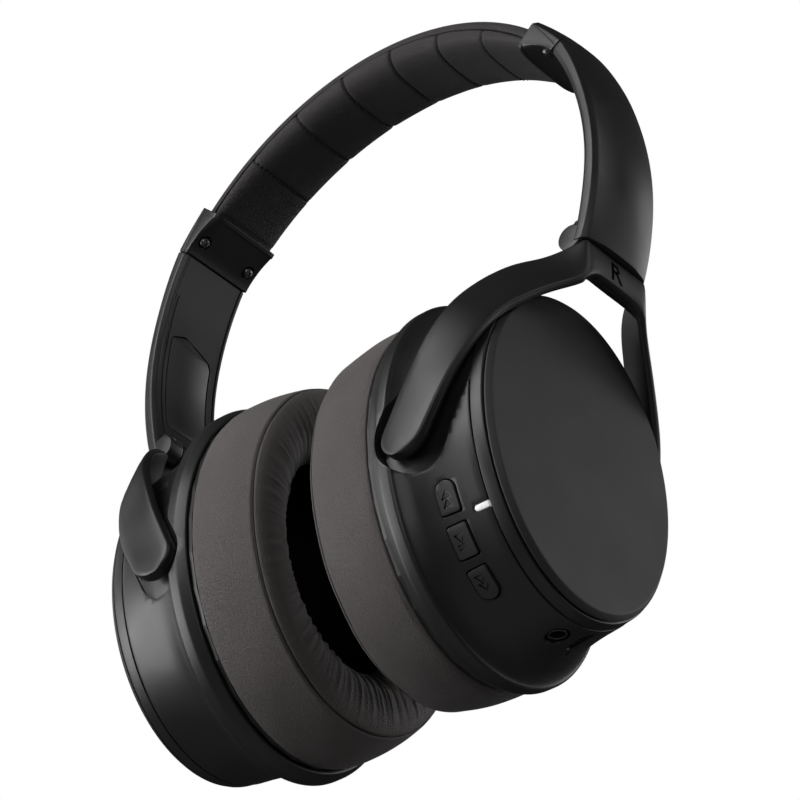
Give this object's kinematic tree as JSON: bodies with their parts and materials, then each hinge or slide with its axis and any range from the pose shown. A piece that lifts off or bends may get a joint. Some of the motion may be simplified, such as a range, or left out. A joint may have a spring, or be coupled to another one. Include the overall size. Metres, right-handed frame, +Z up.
{
  "type": "over-ear headphones",
  "caption": "Folding over-ear wireless headphones with padded headband, sliding arms, wishbone yokes and oval ear cups; stands in for an aviation headset, no microphone boom.",
  "frame": {"origin": "underside of the headband cushion at the crown, on the plane that mirrors left and right, where a head or a hook carries the part", "axes": "+Z up along the band's crown, +X towards the wearer's right ear, +Y towards the wearer's front"},
  "size_m": [0.1488, 0.0786, 0.1953],
  "materials": {
    "shell_black": "satin black moulded plastic",
    "cover_black": "matt soft-touch black plastic",
    "band_leather": "fine-grained black-brown leatherette",
    "pad_leather": "grained dark brown-grey leatherette",
    "steel": "plain steel",
    "dark_steel": "blackened steel",
    "board_fibre": "pressed fibre board",
    "cloth_black": "black speaker cloth",
    "light_white": "white translucent plastic",
    "circuit_green": "coated circuit board",
    "cell_grey": "foil-wrapped cell"
  },
  "bodies": {
    "headband": {"headband_cover": "band_leather", "headband_spring": "steel", "headband_board": "board_fibre", "headband_cushion": "band_leather"},
    "end_cap_R": {"end_cap_outer_R": "shell_black", "end_cap_inner_R": "shell_black", "cap_screw_front_R": "dark_steel", "cap_screw_rear_R": "dark_steel", "slider_tongue_R": "steel"},
    "arm_R": {"arm_shell_R": "shell_black", "arm_panel_R": "shell_black", "arm_insert_R": "cover_black", "fold_pin_R": "steel"},
    "yoke_R": {"yoke_R": "shell_black", "cup_pivot_front_R": "steel", "cup_pivot_rear_R": "steel"},
    "cup_R": {"cup_housing_R": "shell_black", "trim_ring_R": "shell_black", "cup_cover_R": "cover_black", "baffle_R": "shell_black", "driver_R": "steel", "speaker_cloth_R": "cloth_black", "pad_plate_R": "shell_black", "ear_pad_R": "pad_leather", "key_board_R": "circuit_green", "status_light_R": "light_white", "jack_socket_R": "dark_steel", "charging_socket_R": "steel", "circuit_board_R": "circuit_green"},
    "end_cap_L": {"end_cap_outer_L": "shell_black", "end_cap_inner_L": "shell_black", "cap_screw_front_L": "dark_steel", "cap_screw_rear_L": "dark_steel", "slider_tongue_L": "steel"},
    "arm_L": {"arm_shell_L": "shell_black", "arm_panel_L": "shell_black", "arm_insert_L": "cover_black", "fold_pin_L": "steel"},
    "yoke_L": {"yoke_L": "shell_black", "cup_pivot_front_L": "steel", "cup_pivot_rear_L": "steel"},
    "cup_L": {"cup_housing_L": "shell_black", "trim_ring_L": "shell_black", "cup_cover_L": "cover_black", "baffle_L": "shell_black", "driver_L": "steel", "speaker_cloth_L": "cloth_black", "pad_plate_L": "shell_black", "ear_pad_L": "pad_leather", "battery_L": "cell_grey"},
    "key_back_R": {"key_back_R": "cover_black"},
    "key_play_R": {"key_play_R": "cover_black"},
    "key_next_R": {"key_next_R": "cover_black"}
  },
  "joints": [
    {"name": "band_flex_R", "type": "hinge", "parent": "headband", "child": "end_cap_R", "pos_m": [0.05642, 0, -0.01171], "axis": [0, -1, 0], "range_deg": [0, 34.3]},
    {"name": "slider_R", "type": "hinge", "parent": "end_cap_R", "child": "arm_R", "pos_m": [-0.014, 0, -0.0643], "axis": [0, 1, 0], "range_deg": [0, 6.5]},
    {"name": "fold_R", "type": "hinge", "parent": "arm_R", "child": "yoke_R", "pos_m": [0.0648, 0, -0.0859], "axis": [0, 1, 0], "range_deg": [0, 70]},
    {"name": "tilt_R", "type": "hinge", "parent": "yoke_R", "child": "cup_R", "pos_m": [0.0382, 0, -0.1436], "axis": [0, -1, 0], "range_deg": [-4, 12]},
    {"name": "band_flex_L", "type": "hinge", "parent": "headband", "child": "end_cap_L", "pos_m": [-0.05642, 0, -0.01171], "axis": [0, 1, 0], "range_deg": [0, 34.3]},
    {"name": "slider_L", "type": "hinge", "parent": "end_cap_L", "child": "arm_L", "pos_m": [0.014, 0, -0.0643], "axis": [0, -1, 0], "range_deg": [0, 6.5]},
    {"name": "fold_L", "type": "hinge", "parent": "arm_L", "child": "yoke_L", "pos_m": [-0.0648, 0, -0.0859], "axis": [0, -1, 0], "range_deg": [0, 70]},
    {"name": "tilt_L", "type": "hinge", "parent": "yoke_L", "child": "cup_L", "pos_m": [-0.0382, 0, -0.1436], "axis": [0, 1, 0], "range_deg": [-4, 12]},
    {"name": "key_back_R_press", "type": "slide", "parent": "cup_R", "child": "key_back_R", "axis": [0, 0.9091, 0.4165], "range_m": [0, 0.00035], "stiffness_N_per_m": 3000},
    {"name": "key_play_R_press", "type": "slide", "parent": "cup_R", "child": "key_play_R", "axis": [0, 0.7872, 0.6167], "range_m": [0, 0.00035], "stiffness_N_per_m": 3000},
    {"name": "key_next_R_press", "type": "slide", "parent": "cup_R", "child": "key_next_R", "axis": [0, 0.5852, 0.8109], "range_m": [0, 0.00035], "stiffness_N_per_m": 3000}
  ],
  "couplings": [
    {"joint": "band_flex_R", "follows": "fold_R", "ratio": 0.49},
    {"joint": "band_flex_L", "follows": "fold_L", "ratio": 0.49}
  ]
}
